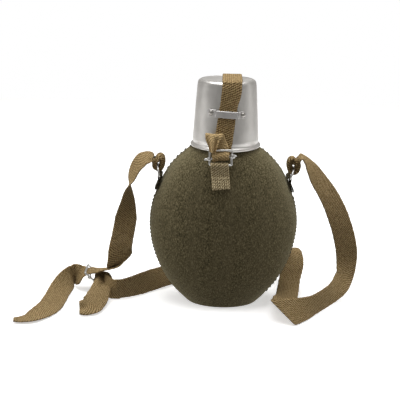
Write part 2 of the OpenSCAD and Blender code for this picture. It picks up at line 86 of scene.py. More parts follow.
SLIDER_MID = Vector((-157, 18, 21))
SLIDER_HALF = 14.7
SLIDER_TILT = 43.0
SLIDER_UP = 8.0
SLIDER_DOWN = 10.0

# Each row is a station on the middle of the webbing, in the order it runs: x, y, z, then the way its
# width points, then its width. Webbing bunched at a ring is narrow; one along a slanting fold is wide.
LONG_ROUTE = [
    (79, 0, 164.5, 0, 1, 0, 14), (78.8, 0, 168, 0, 1, 0, 14), (76.5, 0, 170.5, 0, 1, 0, 15),
    (74, 0, 168, 0, 1, 0, 15), (73.8, 0, 162, 0, 1, 0, 14), (76.5, 0, 157, 0, 1, 0, 13),
    (80.5, 0, 157.5, 0, 1, 0, 13), (82.5, 0, 163, 0, 1, 0, 15), (83, 0, 169, 0, 1, 0, 19),
    (86.5, 0, 173, 0.1, 1, 0, 23), (91, 1, 169.5, 0.2, 1, 0, 25), (97, 3, 161.5, 0.4, 1, 0.2, 25),
    (105.5, 6, 149.5, 0.7, 0.8, 0.2, 25), (124, 10, 122, 0.9, 0.5, 0.15, 25),
    (138, 13, 92, 1, 0.2, 0.1, 25), (147, 15, 62, 1, 0, 0, 25), (149, 15, 40, 1, 0.2, 0, 25),
    (145, 6, 24, 0.8, 0.6, -0.1, 25), (129, -20, 17, 0.55, 0.5, -0.65, 25),
    (103, -51, 13.5, -0.1, -0.2, -0.97, 25), (90, -63, 13.5, 0.15, -0.4, -0.9, 26),
    (78, -70, 13.8, 0.45, -0.4, -0.8, 30), (67, -74, 14, 0.7, -0.36, -0.62, 36),
    (68.5, -66, 16, 0.75, -0.3, -0.58, 33), (70, -50, 17, 0.88, -0.2, -0.35, 27),
    (74, -33, 15, 0.97, -0.1, -0.15, 25), (78, -8, 14, 1, 0, 0, 25), (82, 14, 20, 1, 0, 0.1, 25),
    (87, 30, 34, 1, 0, 0.1, 25), (85, 44, 45, 1, 0.1, -0.1, 25), (76, 54, 45, 0.9, 0.4, -0.3, 25),
    (60, 62, 34, 0.6, 0.4, -0.7, 25), (36, 66, 20, 0.2, 0.2, -1, 25), (0, 66, 14, 0, 0, -1, 25),
    (-42, 54, 13.5, 0, -0.4, -0.9, 25), (-75, 29, 12.5, -0.2, -0.8, -0.55, 25),
    (-96, 5, 13.5, -0.1, -0.4, -0.85, 25), (-112, -10, 14, 0, 0.1, -1, 25),
    (-126, -13, 13, 0, 0, -1, 24), (-137, -2, 13, 0, -0.45, -0.9, 24),
    (-144, 14, 11.6, 0.1, -0.9, -0.3, 24), (-149.5, 18, 11, 0, -1, 0, 24),
    (-152.5, 18, 14, 0, -1, 0, 24), (-149.7, 18, 17, 0, -1, 0, 23),
    (-143.5, 15, 18.5, -0.45, -0.9, 0, 20), (-140.5, 4, 17.5, -0.8, -0.6, 0, 20),
    (-142, -13, 13, -1, -0.15, 0, 24), (-143, -28, 12, -0.95, 0.3, 0.2, 25),
    (-144, -41, 11, -0.75, 0.55, 0.4, 25), (-148, -52, 9.5, -0.4, 0.75, 0.5, 25),
    (-154, -56, 8, -0.25, 0.78, 0.55, 22), (-161, -57, 7.5, -0.2, 0.75, 0.6, 18)]
SHORT_ROUTE = [
    (-76.3, 0, 165.3, 0, -1, 0, 14), (-76, 0, 168.5, 0, -1, 0, 14), (-73.8, 0, 170.8, 0, -1, 0, 15),
    (-71.5, 0, 168.5, 0, -1, 0, 15), (-71.5, 0, 162, 0, -1, 0, 13), (-74.5, 0, 157.3, 0, -1, 0, 12),
    (-79, 0, 159.5, 0, -1, 0, 13), (-80, 0, 165, 0.2, -0.9, -0.3, 17),
    (-83, 0, 168.5, 0.3, -0.85, -0.45, 22), (-89, 0, 169, 0.25, -0.9, -0.3, 25),
    (-96, 0, 165, 0.3, -0.85, -0.4, 25), (-102, 0, 157, 0.35, -0.9, -0.3, 25),
    (-106.5, -1, 145, 0.3, -0.95, -0.1, 25), (-110, -3, 131, -0.25, -0.97, 0, 25),
    (-111, -4, 113, -0.68, -0.73, 0, 25), (-113, -6, 95, -0.97, -0.2, 0, 25),
    (-116, -8, 78, -1, 0, -0.1, 25), (-119, -8, 62, -0.97, 0.1, -0.25, 27),
    (-121, -4, 45, -0.86, 0.1, -0.52, 34), (-127, 4, 35, -0.55, 0.7, -0.45, 28),
    (-137, 10, 28.5, -0.12, 0.93, -0.35, 25), (-148, 17, 24, 0, 1, -0.1, 23),
    (-157, 18, 23.7, 0, 1, 0, 23), (-163, 18, 21.3, 0, 1, 0.1, 23),
    (-171, 21.5, 16.8, 0, 0.65, 0.75, 24), (-179, 27, 15, 0, 0, 1, 25),
    (-185, 14, 13, -0.6, 0, 0.8, 25), (-191, -6, 8, -0.9, 0, 0.4, 25),
    (-193, -28, 6, -0.93, 0, 0.33, 25), (-197, -52, 5, -0.9, 0.25, 0.25, 25),
    (-209, -74, 4, -0.5, 0.75, 0.1, 22), (-220, -81, 3, -0.3, 1, 0, 16),
    (-230, -83, 3, -0.1, 1, 0, 9)]
CLOSURE_ROUTE = [
    (8, 45, 171, 1, 0, 0, 19), (8, 43, 178, 1, 0, 0, 19), (8, 41.2, 186, 1, 0, 0, 19),
    (7.6, 39.9, 194, 1, 0, 0, 19), (7.2, 37.5, 222, 1, 0, 0, 19), (6.8, 34.8, 251, 1, 0, 0, 19),
    (6.6, 33, 258, 1, 0, 0, 21), (6.4, 28.5, 261.5, 1, 0, 0, 21), (5.8, 0, 261.8, 1, 0, 0, 21),
    (5, -28, 261.6, 1, 0.1, 0, 21), (4.7, -32.6, 258, 1, 0.1, 0, 21),
    (4.2, -34.3, 250, 1, 0.1, 0, 21), (2, -35.4, 238, 1, 0.05, 0.1, 19),
    (0.4, -36.1, 227, 1, 0, 0.1, 19), (-1.5, -37.6, 212, 1, 0, 0.1, 19),
    (-3, -39.2, 199, 1, 0, 0.1, 19), (-4.4, -40.9, 190, 1, 0, 0.1, 19),
    (-5.2, -41.9, 185, 1, 0, 0.13, 18), (-5.8, -43.6, 180.5, 1, 0, 0.13, 18),
    (-5.9, -46.3, 178.5, 1, 0, 0.13, 18), (-5.9, -49, 181, 1, 0, 0.13, 18),
    (-6.2, -48.5, 184.3, 1, 0, 0.13, 18), (-6.5, -45.8, 185.9, 1, 0, 0.1, 18),
    (-6.8, -43.4, 187.8, 1, 0, 0.1, 18), (-7.2, -43, 191.4, 1, 0, 0.1, 18),
    (-10, -42.4, 197, 1, 0, 0, 19), (-12.8, -42.2, 203.3, 1, 0, 0, 19),
    (-13.6, -43.8, 206, 1, 0, 0, 19), (-14.2, -45.8, 204.8, 1, 0, 0, 18.5),
    (-15, -47, 201.5, 1, 0, 0, 15.5), (-14.7, -48.3, 196, 1, 0, 0, 11),
    (-14.8, -49.4, 191, 1, 0, 0, 7.5), (-14.9, -49.6, 187.5, 1, 0, 0, 6.5)]


# ---------------- camera, light and floor


def set_colours():
    """Plain display colours, so that white paper shows as white."""
    view = bpy.context.scene.view_settings
    view.view_transform = "Standard"
    view.look = "None"


def make_camera():
    """The photograph's viewpoint: a little above the canteen, far enough for a long lens."""
    place = Vector((-27.5, -960, 395)) * MM
    target = Vector((-27.5, 0, 120)) * MM
    roll = 0.02
    camera = bpy.data.objects.new("camera", bpy.data.cameras.new("camera"))
    camera.data.lens = 77.9
    camera.data.sensor_width = 36
    camera.location = place
    aim = (target - place).to_track_quat("-Z", "Y")
    camera.rotation_mode = "QUATERNION"
    camera.rotation_quaternion = aim @ Matrix.Rotation(roll, 3, "Z").to_quaternion()
    bpy.context.scene.collection.objects.link(camera)
    bpy.context.scene.camera = camera


def make_world():
    """A light tent: white all round, dimmer towards the open front where the camera looks in."""
    open_front, closed_back = -0.85, 0.15
    world = bpy.data.worlds.new("studio")
    bpy.context.scene.world = world
    world.use_nodes = True
    tree = world.node_tree
    tree.nodes.clear()
    coords = tree.nodes.new("ShaderNodeTexCoord")
    parts = node(tree, "ShaderNodeSeparateXYZ", i0=coords.outputs["Generated"])
    glow = node(tree, "ShaderNodeMapRange", i0=parts.outputs["Y"], i1=open_front, i2=closed_back,
                i3=0.30, i4=0.50)
    glow.interpolation_type = "SMOOTHSTEP"
    lit = node(tree, "ShaderNodeBackground", i0=(1, 0.975, 0.94, 1), i1=glow.outputs["Result"])
    shown = node(tree, "ShaderNodeBackground", i0=(1, 1, 1, 1), i1=1.0)
    path = tree.nodes.new("ShaderNodeLightPath")
    mix = node(tree, "ShaderNodeMixShader", i0=path.outputs["Is Camera Ray"], i1=lit.outputs[0],
               i2=shown.outputs[0])
    node(tree, "ShaderNodeOutputWorld", Surface=mix.outputs[0])


def area_light(name, place, target, size, power, mirrored=True):
    """Soft box aimed at a point, all in mm. One that isn't mirrored leaves no highlight on metal."""
    data = bpy.data.lights.new(name, "AREA")
    data.shape = "RECTANGLE"
    data.size, data.size_y = size[0] * MM, size[1] * MM
    data.energy = power
    lamp = bpy.data.objects.new(name, data)
    lamp.visible_glossy = mirrored
    lamp.location = Vector(place) * MM
    lamp.rotation_euler = (Vector(target) - Vector(place)).to_track_quat("-Z", "Y").to_euler()
    bpy.context.scene.collection.objects.link(lamp)


def make_lights():
    """Overhead box, and from each side a soft glow on the cloth and a faint strip for the metal."""
    area_light("top_box", (-40, 60, 1100), (0, 0, 120), (900, 900), 12.5)
    area_light("left_glow", (-900, -60, 400), (0, 0, 130), (600, 900), 3.4, mirrored=False)
    area_light("right_glow", (900, -60, 400), (0, 0, 130), (600, 900), 2.3, mirrored=False)
    area_light("left_strip", (-900, 60, 400), (0, 0, 200), (250, 900), 0.35)
    area_light("right_strip", (900, 60, 400), (0, 0, 200), (250, 900), 0.35)


def make_floor(material):
    """Plain white table. It takes the shadows but throws little light back up."""
    left, right, near, far = -900, 900, -340, 1400
    floor = mesh_object("floor", [(left, near, 0), (right, near, 0), (right, far, 0), (left, far, 0)],
                        [(0, 1, 2, 3)], material, smooth=False)
    floor.visible_diffuse = False


# ---------------- mesh helpers


def mesh_object(name, points, faces, material, smooth=True, uvs=None):
    """Object from points in mm; uvs holds one (u, v) for each corner of each face."""
    mesh = bpy.data.meshes.new(name)
    mesh.from_pydata([(p[0] * MM, p[1] * MM, p[2] * MM) for p in points], [], faces)
    if uvs is not None:
        layer = mesh.uv_layers.new(name="UVMap")
        layer.data.foreach_set("uv", [c for uv in uvs for c in uv])
    mesh.polygons.foreach_set("use_smooth", [smooth] * len(mesh.polygons))
    mesh.materials.append(material)
    mesh.update()
    obj = bpy.data.objects.new(name, mesh)
    bpy.context.scene.collection.objects.link(obj)
    return obj


def curve_point(a, b, c, d, t):
    """Catmull-Rom curve between b and c, on tuples of any length."""
    return [
        (2 * q + (r - p) * t + (2 * p - 5 * q + 4 * r - s) * t * t + (3 * q - p - 3 * r + s) * t ** 3) / 2
        for p, q, r, s in zip(a, b, c, d)]


def spline(rows, step):
    """Rows of numbers whose first three are a place, resampled about every step mm."""
    out = []
    last = len(rows) - 1
    for i in range(last):
        a, b, c, d = rows[max(i - 1, 0)], rows[i], rows[i + 1], rows[min(i + 2, last)]
        count = max(2, math.ceil((Vector(c[:3]) - Vector(b[:3])).length / step))
        out += [curve_point(a, b, c, d, k / count) for k in range(count)]
    return out + [list(rows[-1])]


def skin(rings, closed_rows=False):
    """Faces over rings of equal length, each ring closed, with flat ends unless the rows close too."""
    n = len(rings[0])
    rows = len(rings)
    faces = []
    for i in range(rows if closed_rows else rows - 1):
        a, b = i * n, (i + 1) % rows * n
        faces += [(a + j, a + (j + 1) % n, b + (j + 1) % n, b + j) for j in range(n)]
    if not closed_rows:
        faces += [tuple(range(n - 1, -1, -1)), tuple(range((rows - 1) * n, rows * n))]
    return faces


def tube_rings(path, radius, sides, closed=False):
    """Circles along a path, turned as little as possible from one to the next."""
    count = len(path)
    tangents = []
    for i in range(count):
        before = path[(i - 1) % count] if closed else path[max(i - 1, 0)]
        after = path[(i + 1) % count] if closed else path[min(i + 1, count - 1)]
        tangents.append((after - before).normalized())
    normal = tangents[0].orthogonal().normalized()
    rings = []
    for place, run in zip(path, tangents):
        normal = (normal - run * normal.dot(run)).normalized()
        side = run.cross(normal)
        angles = [2 * math.pi * k / sides for k in range(sides)]
        rings.append([place + radius * (normal * math.cos(a) + side * math.sin(a)) for a in angles])
    return rings


def tube(name, path, radius, material, sides=14, closed=False):
    """Round wire along a path; an open one gets rounded ends."""
    if not closed:
        path, radii = rounded_ends(path, radius)
    else:
        radii = [radius] * len(path)
    unit_rings = tube_rings(path, 1.0, sides, closed)
    rings = [[place + (p - place) * r for p in ring] for place, ring, r in zip(path, unit_rings, radii)]
    return mesh_object(name, [p for ring in rings for p in ring], skin(rings, closed), material)


def rounded_ends(path, radius):
    """Extra points and radii that close an open wire with half a ball at each end."""
    steps = (0.25, 0.55, 0.8, 0.95)
    start, end = (path[0] - path[1]).normalized(), (path[-1] - path[-2]).normalized()
    head = [(path[0] + start * radius * math.sqrt(1 - s * s), s) for s in steps]
    tail = [(path[-1] + end * radius * math.sqrt(1 - s * s), s) for s in reversed(steps)]
    places = [p for p, s in head] + list(path) + [p for p, s in tail]
    radii = [radius * s for p, s in head] + [radius] * len(path) + [radius * s for p, s in tail]
    return places, radii


def rounded_loop(corners, radius, steps=6):
    """Closed path through corners with each corner rounded."""
    out = []
    count = len(corners)
    for i, corner in enumerate(corners):
        to_last = (corners[i - 1] - corner).normalized()
        to_next = (corners[(i + 1) % count] - corner).normalized()
        half = to_last.angle(to_next) / 2
        reach = radius / math.tan(half)
        middle = corner + (to_last + to_next).normalized() * radius / math.sin(half)
        a, b = corner + to_last * reach, corner + to_next * reach
        for k in range(steps + 1):
            spoke = (a - middle).slerp(b - middle, k / steps)
            out.append(middle + spoke)
    return out


def arc_points(middle, radius, start, end, steps):
    """Points round an arc in a plane, angles in degrees."""
    out = []
    for k in range(steps + 1):
        a = math.radians(start + (end - start) * k / steps)
        out.append((middle[0] + radius * math.cos(a), middle[1] + radius * math.sin(a)))
    return out


def lathe(name, profile, material, sides=128, wobble=None):
    """Closed surface of revolution about Z from (radius, height) pairs that start and end on the axis."""
    points = []
    for r, z in profile[1:-1]:
        for x, y in arc_points((0, 0), r, 0, 360, sides)[:-1]:
            p = Vector((x, y, z))
            points.append(wobble(p) if wobble else p)
    rows = len(profile) - 2
    first, last = len(points), len(points) + 1
    points += [Vector((0, 0, profile[0][1])), Vector((0, 0, profile[-1][1]))]
    faces = []
    for i in range(rows - 1):
        a, b = i * sides, (i + 1) * sides
        faces += [(a + k, a + (k + 1) % sides, b + (k + 1) % sides, b + k) for k in range(sides)]
    top = (rows - 1) * sides
    faces += [(first, (k + 1) % sides, k) for k in range(sides)]
    faces += [(last, top + k, top + (k + 1) % sides) for k in range(sides)]
    return mesh_object(name, points, faces, material)


def join(name, objects):
    """One object out of several with one material."""
    bpy.ops.object.select_all(action="DESELECT")
    for obj in objects:
        obj.select_set(True)
    bpy.context.view_layer.objects.active = objects[0]
    bpy.ops.object.join()
    objects[0].name = name
    objects[0].data.name = name
    return objects[0]


# ---------------- webbing


def band_section(full, width):
    """Points across a band: (part of the half width, offset across, offset out).

    A band squeezed below its full width rises in pleats.
    """
    steps = 24
    deepest_pleat = 2.6
    squeeze = max(0.0, 1 - width / full)
    pleat = min(deepest_pleat, 7 * squeeze)
    out = []
    for k in range(steps + 1):
        u = math.sin(math.pi * (k / steps - 0.5))
        out.append((u, u * width / 2, pleat * math.cos(1.5 * math.pi * u + 0.6)))
    return out


def band_frame(rows, i):
    """Place of row i, the way across the band, and the way out of its face.

    A row wider than the strap runs along a slanting fold, so it keeps its own direction.
    """
    before, after = Vector(rows[max(i - 1, 0)][:3]), Vector(rows[min(i + 1, len(rows) - 1)][:3])
    run = (after - before).normalized()
    width_way = Vector(rows[i][3:6]).normalized()
    slant = min(1, max(0, rows[i][6] / STRAP_W - 1) / 0.2)
    side = (width_way - (1 - slant) * run * width_way.dot(run)).normalized()
    return Vector(rows[i][:3]), side, run.cross(side).normalized()


def band_ring(axes, section, travel, thick, ripple, seed):
    """Closed ring round a band at one row: over its upper face, then back under it.

    The face ripples softly, and the rounded selvedge is notched by the weft's turns.
    """
    place, side, out = axes
    notch_depth = 0.6
    notch_pitch = 2.9
    lump = notch_depth * (0.7 + 1.2 * noise.noise(Vector((travel * 0.21, seed, 0))))
    upper, lower = [], []
    for u, x, y in section:
        edge = max(0.0, (abs(u) - 0.9) / 0.1)
        half_t = thick / 2 * math.sqrt(max(0.06, 1 - 0.94 * edge * edge))
        notch = math.copysign(lump * edge * math.sin(2 * math.pi * travel / notch_pitch), u)
        wave = ripple * noise.noise(Vector((u * 0.9, travel * 0.05, seed)))
        centre = place + side * (x + notch) + out * (y + wave)
        upper.append(centre + out * half_t)
        lower.append(centre - out * half_t)
    return upper + lower[::-1]


def band_skin(uv_rows):
    """Faces over a band's rings with flat ends, and one UV for each corner of each face."""
    n = len(uv_rows[0][0])
    count = len(uv_rows)
    faces, uvs = [], []
    for i in range(count - 1):
        a, b = i * n, (i + 1) * n
        us, v = uv_rows[i]
        next_us, next_v = uv_rows[i + 1]
        for j in range(n):
            k = (j + 1) % n
            faces.append((a + j, b + j, b + k, a + k))
            uvs += [(us[j], v), (next_us[j], next_v), (next_us[k], next_v), (us[k], v)]
    faces += [tuple(range(n)), tuple(range(count * n - 1, (count - 1) * n - 1, -1))]
    us, v = uv_rows[0]
    uvs += [(x, v) for x in us]
    us, v = uv_rows[-1]
    uvs += [(x, v) for x in reversed(us)]
    return faces, uvs


def band(name, route, full, material, thick=WEB_T, step=0.8, ripple=0.25, taper_from=None):
    """Woven band along its stations, with UVs in metres across and along.

    Past the station taper_from it is cut narrow, so it no longer pleats.
    """
    rows = spline(route, step)
    points, uv_rows = [], []
    travel = 0.0
    seed = len(name) * 3.1
    taper_at = len(rows) if taper_from is None else nearest_row(rows, route[taper_from])
    for i, row in enumerate(rows):
        axes = band_frame(rows, i)
        if i:
            travel += (axes[0] - Vector(rows[i - 1][:3])).length
        width = row[6]
        section = band_section(full if i < taper_at else width, width)
        points += band_ring(axes, section, travel, thick, ripple, seed)
        across = [u * full / 2 * MM for u, x, y in section]
        uv_rows.append((across + across[::-1], travel * MM))
    faces, uvs = band_skin(uv_rows)
    obj = mesh_object(name, points, faces, material, uvs=uvs)
    obj["flat_length"] = travel * MM
    return obj


def nearest_row(rows, station):
    """Index of the resampled row closest to a station."""
    place = Vector(station[:3])
    return min(range(len(rows)), key=lambda i: (Vector(rows[i][:3]) - place).length)


# ---------------- body


def span_part(sine, power):
    """Half width of a unit superellipse at a height between 0 and 1."""
    return max(0.0, 1 - sine ** power) ** (1 / power)


def body_half(sine, axis, off=0.0):
    """Half size of the cover along X (axis 0) or Y (axis 1), drawn in by off."""
    size = (BODY_A if axis == 0 else BODY_B) - off
    powers = UPPER_POWER if sine >= 0 else LOWER_POWER
    return size * span_part(abs(sine), powers[axis])


def body_level(sine, off=0.0):
    """Height of a sine: 0 at the widest level, towards 1 at the top and -1 at the bottom."""
    return WIDE_Z + sine * ((UPPER_SPAN if sine >= 0 else LOWER_SPAN) - off)


def half_at(z, axis):
    """Half size of the cover at a height."""
    span = UPPER_SPAN if z >= WIDE_Z else LOWER_SPAN
    return body_half((z - WIDE_Z) / span, axis)


def cover_sines(rows):
    """Sines of height from the base to the neck opening, close together near both ends."""
    lower = rows // 2
    upper = rows - lower
    below = [-BASE_SINE * math.cos(math.pi / 2 * k / lower) for k in range(lower)]
    above = [NECK_SINE * math.sin(math.pi / 2 * k / upper) for k in range(upper + 1)]
    return below + above


def felt_offset(point, seam):
    """How far the felt stands out at a point that is seam mm from the side seam.

    Soft dents and fuzz everywhere, and beside the seam a raised lip with a groove where the panels meet.
    """
    broad = 0.7 * noise.noise(point * 0.025)
    soft = 0.28 * noise.noise(point * 0.11 + Vector((7, 3, 1)))
    fuzz = 0.16 * noise.noise(point * 0.75) + 0.10 * noise.noise(point * 1.7)
    lip_at, lip_width, groove_width = 1.6, 3.2, 0.9
    lip = math.exp(-((seam - lip_at) / lip_width) ** 2)
    groove = math.exp(-(seam / groove_width) ** 2)
    return broad + soft + fuzz + 0.9 * lip - 0.9 * groove


def felt_pair(sine, a, shift):
    """Outer and inner point of the felt at an angle; it lies flat on the base and thins at the neck."""
    half_x, half_y = body_half(sine, 0), body_half(sine, 1)
    p = Vector((half_x * math.cos(a), half_y * math.sin(a) + shift, body_level(sine)))
    normal = Vector((math.cos(a) / half_x, math.sin(a) / half_y, 0)).normalized()
    normal.z = sine * 0.8
    normal.normalize()
    off_base = max(0.0, min(1.0, p.z / 6))
    thin_from = 0.93
    near_top = max(0.0, (sine - thin_from) / (NECK_SINE - thin_from))
    lift = (felt_offset(p, abs(p.y)) - 0.35) * off_base - 0.8 * near_top ** 3
    inner = Vector((body_half(sine, 0, FELT_T) * math.cos(a),
                    body_half(sine, 1, FELT_T) * math.sin(a) + shift, body_level(sine, FELT_T)))
    return p + normal * lift, inner


def panel_skin(rows, steps):
    """Faces of a half shell: outer and inner sheets, the two seam edges, the neck's edge and the base.

    The points are the outer sheet, the inner sheet, then the middle of each one's base.
    """
    cols = steps + 1
    n = rows * cols
    faces = []
    for i in range(rows - 1):
        for j in range(steps):
            p, q = i * cols + j, i * cols + j + 1
            faces.append((p, q, q + cols, p + cols))
            faces.append((n + p, n + p + cols, n + q + cols, n + q))
        p, q = i * cols, (i + 1) * cols
        faces.append((p, p + cols, n + q, n + p))
        p, q = p + steps, q + steps
        faces.append((p, n + p, n + q, q))
    rim = (rows - 1) * cols
    for j in range(steps):
        faces.append((rim + j, rim + j + 1, n + rim + j + 1, n + rim + j))
        faces.append((2 * n, j + 1, j))
        faces.append((2 * n + 1, n + j, n + j + 1))
    faces.append((2 * n, 0, n, 2 * n + 1))
    faces.append((2 * n, 2 * n + 1, n + steps, steps))
    return faces


def felt_panel(name, start, material):
    """One half of the cover, from the angle start round half a turn, as a closed shell."""
    steps, rows = 220, 190
    sines = cover_sines(rows)
    seam_gap = 0.1
    shift = seam_gap if start == 0 else -seam_gap
    angles = [math.radians(start + 180 * k / steps) for k in range(steps + 1)]
    pairs = [felt_pair(sine, a, shift) for sine in sines for a in angles]
    outer, inner = [p for p, q in pairs], [q for p, q in pairs]
    middles = [Vector((0, shift, outer[0].z)), Vector((0, shift, inner[0].z))]
    return mesh_object(name, outer + inner + middles, panel_skin(len(sines), steps), material)


def stitch(start, middle, end, radius):
    """Points of a short thread that rises over the cloth between two holes."""
    path = []
    for k in range(7):
        t = k / 6
        path.append(start * (1 - t) ** 2 + middle * 2 * t * (1 - t) + end * t * t)
    return tube_rings(path, radius, 8)


def thread_object(name, stitches, material):
    """All of a row's stitches in one object."""
    points, faces = [], []
    for rings in stitches:
        base = len(points)
        points += [p for ring in rings for p in ring]
        faces += [tuple(base + v for v in face) for face in skin(rings)]
    return mesh_object(name, points, faces, material)


def seam_threads(side, material):
    """Slanting whip stitches over the side seam, missing where the ring's tab is sewn on."""
    first, last = 12.0, 183
    tab_low, tab_high = 127, 157
    pitch, unevenness = 4.3, 0.3
    sunk = 0.5
    stitches = []
    z = first
    while z < last:
        if z < tab_low or z > tab_high:
            reach = 2.7 + ROLLER.uniform(-unevenness, unevenness)
            slant = 1.3 + ROLLER.uniform(-unevenness, unevenness)
            edge = half_at(z, 0)
            ends = [Vector((side * (edge - sunk), s * reach, z + s * slant)) for s in (-1, 1)]
            top = Vector((side * (edge + 2.1), 0, z))
            stitches.append(stitch(ends[0], top, ends[1], 0.55))
        z += pitch + ROLLER.uniform(-unevenness, unevenness)
    name = "seam_thread_left" if side < 0 else "seam_thread_right"
    return thread_object(name, stitches, material)


# ---------------- cup


def cup_wobble(p):
    """Slight unevenness of drawn and knocked-about sheet metal."""
    out = Vector((p.x, p.y, 0))
    if out.length < 1:
        return p
    amount = 0.16 * noise.noise(p * 0.035) + 0.05 * noise.noise(p * 0.12)
    return p + out.normalized() * amount


def cup_profile():
    """Outside from the axis at the closed end down to the rolled bead, then back up the inside."""
    wall = 0.9
    corner = 4.2
    bead_r = 1.9
    slope = (CUP_RIM_R - CUP_TOP_R) / (CUP_TOP - CUP_LOW)
    corner_at = (CUP_TOP_R - corner, CUP_TOP - corner)
    raised_ring = [(27.6, CUP_TOP - 0.2), (28.4, CUP_TOP)]
    profile = [(0, CUP_TOP - 0.5), (14, CUP_TOP - 0.5), (25, CUP_TOP - 0.4)] + raised_ring
    profile += arc_points(corner_at, corner, 90, 4, 8)
    for k in range(1, 24):
        z = CUP_TOP - corner + (CUP_LOW + 4.2 - CUP_TOP + corner) * k / 24
        profile.append((CUP_TOP_R + slope * (CUP_TOP - z), z))
    profile += [(CUP_RIM_R - 0.9, CUP_LOW + 3.1), (CUP_RIM_R - 0.8, CUP_LOW + 2.2)]
    profile += arc_points((CUP_RIM_R, CUP_LOW), bead_r, 75, -180, 12)
    profile += [(CUP_RIM_R - wall - 0.9, CUP_LOW + 1.5), (CUP_RIM_R - wall - 0.2, CUP_LOW + 4)]
    for k in range(1, 12):
        z = CUP_LOW + 4 + (CUP_TOP - corner - CUP_LOW - 4) * k / 12
        profile.append((CUP_TOP_R - wall + slope * (CUP_TOP - z), z))
    profile += arc_points(corner_at, corner - wall, 0, 90, 8)
    return profile + [(20, CUP_TOP - wall - 0.5), (0, CUP_TOP - wall - 0.5)]


def fine_profile(profile, step=1.6):
    """The same profile with long stretches divided."""
    out = [profile[0]]
    for (r0, z0), (r1, z1) in zip(profile, profile[1:]):
        count = max(1, math.ceil(math.hypot(r1 - r0, z1 - z0) / step))
        out += [(r0 + (r1 - r0) * k / count, z0 + (z1 - z0) * k / count) for k in range(1, count + 1)]
    return out


def make_cup(metal):
    """The spun cup, upside down over the neck."""
    cup = lathe("cup", list(reversed(fine_profile(cup_profile()))), metal, 160, cup_wobble)
    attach(cup, "cup")
    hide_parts("cup_shell")


def cup_r(z):
    """Outer radius of the cup's cone at a height."""
    return CUP_RIM_R + (CUP_TOP_R - CUP_RIM_R) * (z - CUP_LOW) / (CUP_TOP - CUP_LOW)


def cup_out(turn):
    """Level direction out of the cup at an angle in degrees from its front."""
    a = math.radians(turn)
    return Vector((math.sin(a), -math.cos(a), 0))


def bracket_base():
    """Radius of the inner face of the bracket's feet, just clear of the cup."""
    return cup_r(BRACKET_Z) + 0.4


def bracket_level(out):
    """Height of the bracket's middle line, which slants a little round the cup."""
    slope = 0.06
    return BRACKET_Z - slope * bracket_base() * out.x


def bracket_ring(turn):
    """Section of the pressed strip at an angle in degrees from the front of the cup."""
    height, bridge = 7.5, 3.3
    bevel = 0.28
    lean = (CUP_RIM_R - CUP_TOP_R) / (CUP_TOP - CUP_LOW)
    size = abs(turn)
    rise = bridge * min(1, max(0, (20.8 - size) / 3.2))
    half = height / 2 * (1 if size < 33 else math.sqrt(max(0.15, 1 - ((size - 32) / 6.2) ** 2)))
    section = [(0, -half + bevel), (0, half - bevel), (bevel, half), (BRACKET_T - bevel, half),
               (BRACKET_T, half - bevel), (BRACKET_T, -half + bevel), (BRACKET_T - bevel, -half),
               (bevel, -half)]
    out = cup_out(turn)
    foot = bracket_base() + rise
    return [out * (foot + x - lean * z) + Vector((0, 0, bracket_level(out) + z)) for x, z in section]


def bracket_rivet(turn, metal):
    """A dome rivet at an angle in degrees, and its set end inside the cup."""
    out = cup_out(turn)
    base = bracket_base()
    level = Vector((0, 0, bracket_level(out)))
    dome = [(0, 1.9), (1.0, 1.8), (1.95, 1.35), (2.6, 0.75), (2.9, 0.2), (2.8, 0), (0, -0.1)]
    head = lathe(f"rivet_{turn}", list(reversed(dome)), metal, 28)
    place_on(head, out * (base + BRACKET_T) + level, out)
    tail = [(0, 0.5), (1.5, 0.4), (2, 0), (1.9, -0.5), (1.2, -0.6), (1.1, -3), (0, -3)]
    set_end = lathe(f"rivet_tail_{turn}", list(reversed(tail)), metal, 24)
    place_on(set_end, out * (base - 1.9) + level, -out)
    return [head, set_end]


def make_bracket(metal, rivet_metal):
    """Pressed strip with a raised bridge and round feet, and its two rivets."""
    half_turns = [-38, -36, -33, -29, -25, -22, -20.6, -19.6, -18.6, -17.6, -14, -9, -3]
    rings = [bracket_ring(turn) for turn in half_turns + [0] + [-t for t in reversed(half_turns)]]
    bracket = mesh_object("bracket", [p for r in rings for p in r], skin(rings), metal, smooth=False)
    rivet_set = join("rivets", bracket_rivet(-29, rivet_metal) + bracket_rivet(29, rivet_metal))
    for obj, node_name in ((bracket, "cup_bracket"), (rivet_set, "cup_rivets")):
        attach(obj, "cup")
        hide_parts(node_name)


def place_on(obj, place, out):
    """Moves a lathe made at the origin so that its +Z points out at a place in mm."""
    turn = Vector(out).to_track_quat("Z", "Y").to_matrix().to_4x4()
    obj.data.transform(Matrix.Translation(Vector(place) * MM) @ turn)


# ---------------- hardware


def wire_frame(name, corners, metal):
    """Closed frame of bent wire through four corners."""
    return tube(name, rounded_loop(corners, 1.7), WIRE_R, metal, 16, closed=True)


def eye(name, place, axis, inner, outer, length, metal):
    """Short thick collar round a side wire."""
    bevel = 0.35
    half = length / 2
    profile = [(inner, -half + bevel), (inner + bevel, -half),
               (outer - bevel, -half), (outer, -half + bevel),
               (outer, half - bevel), (outer - bevel, half),
               (inner + bevel, half), (inner, half - bevel)]
    turns = arc_points((0, 0), 1, 0, 360, 28)[:-1]
    rings = [[Vector((r * x, r * y, z)) for r, z in profile] for x, y in turns]
    obj = mesh_object(name, [p for r in rings for p in r], skin(rings, True), metal)
    place_on(obj, place, axis)
    return obj


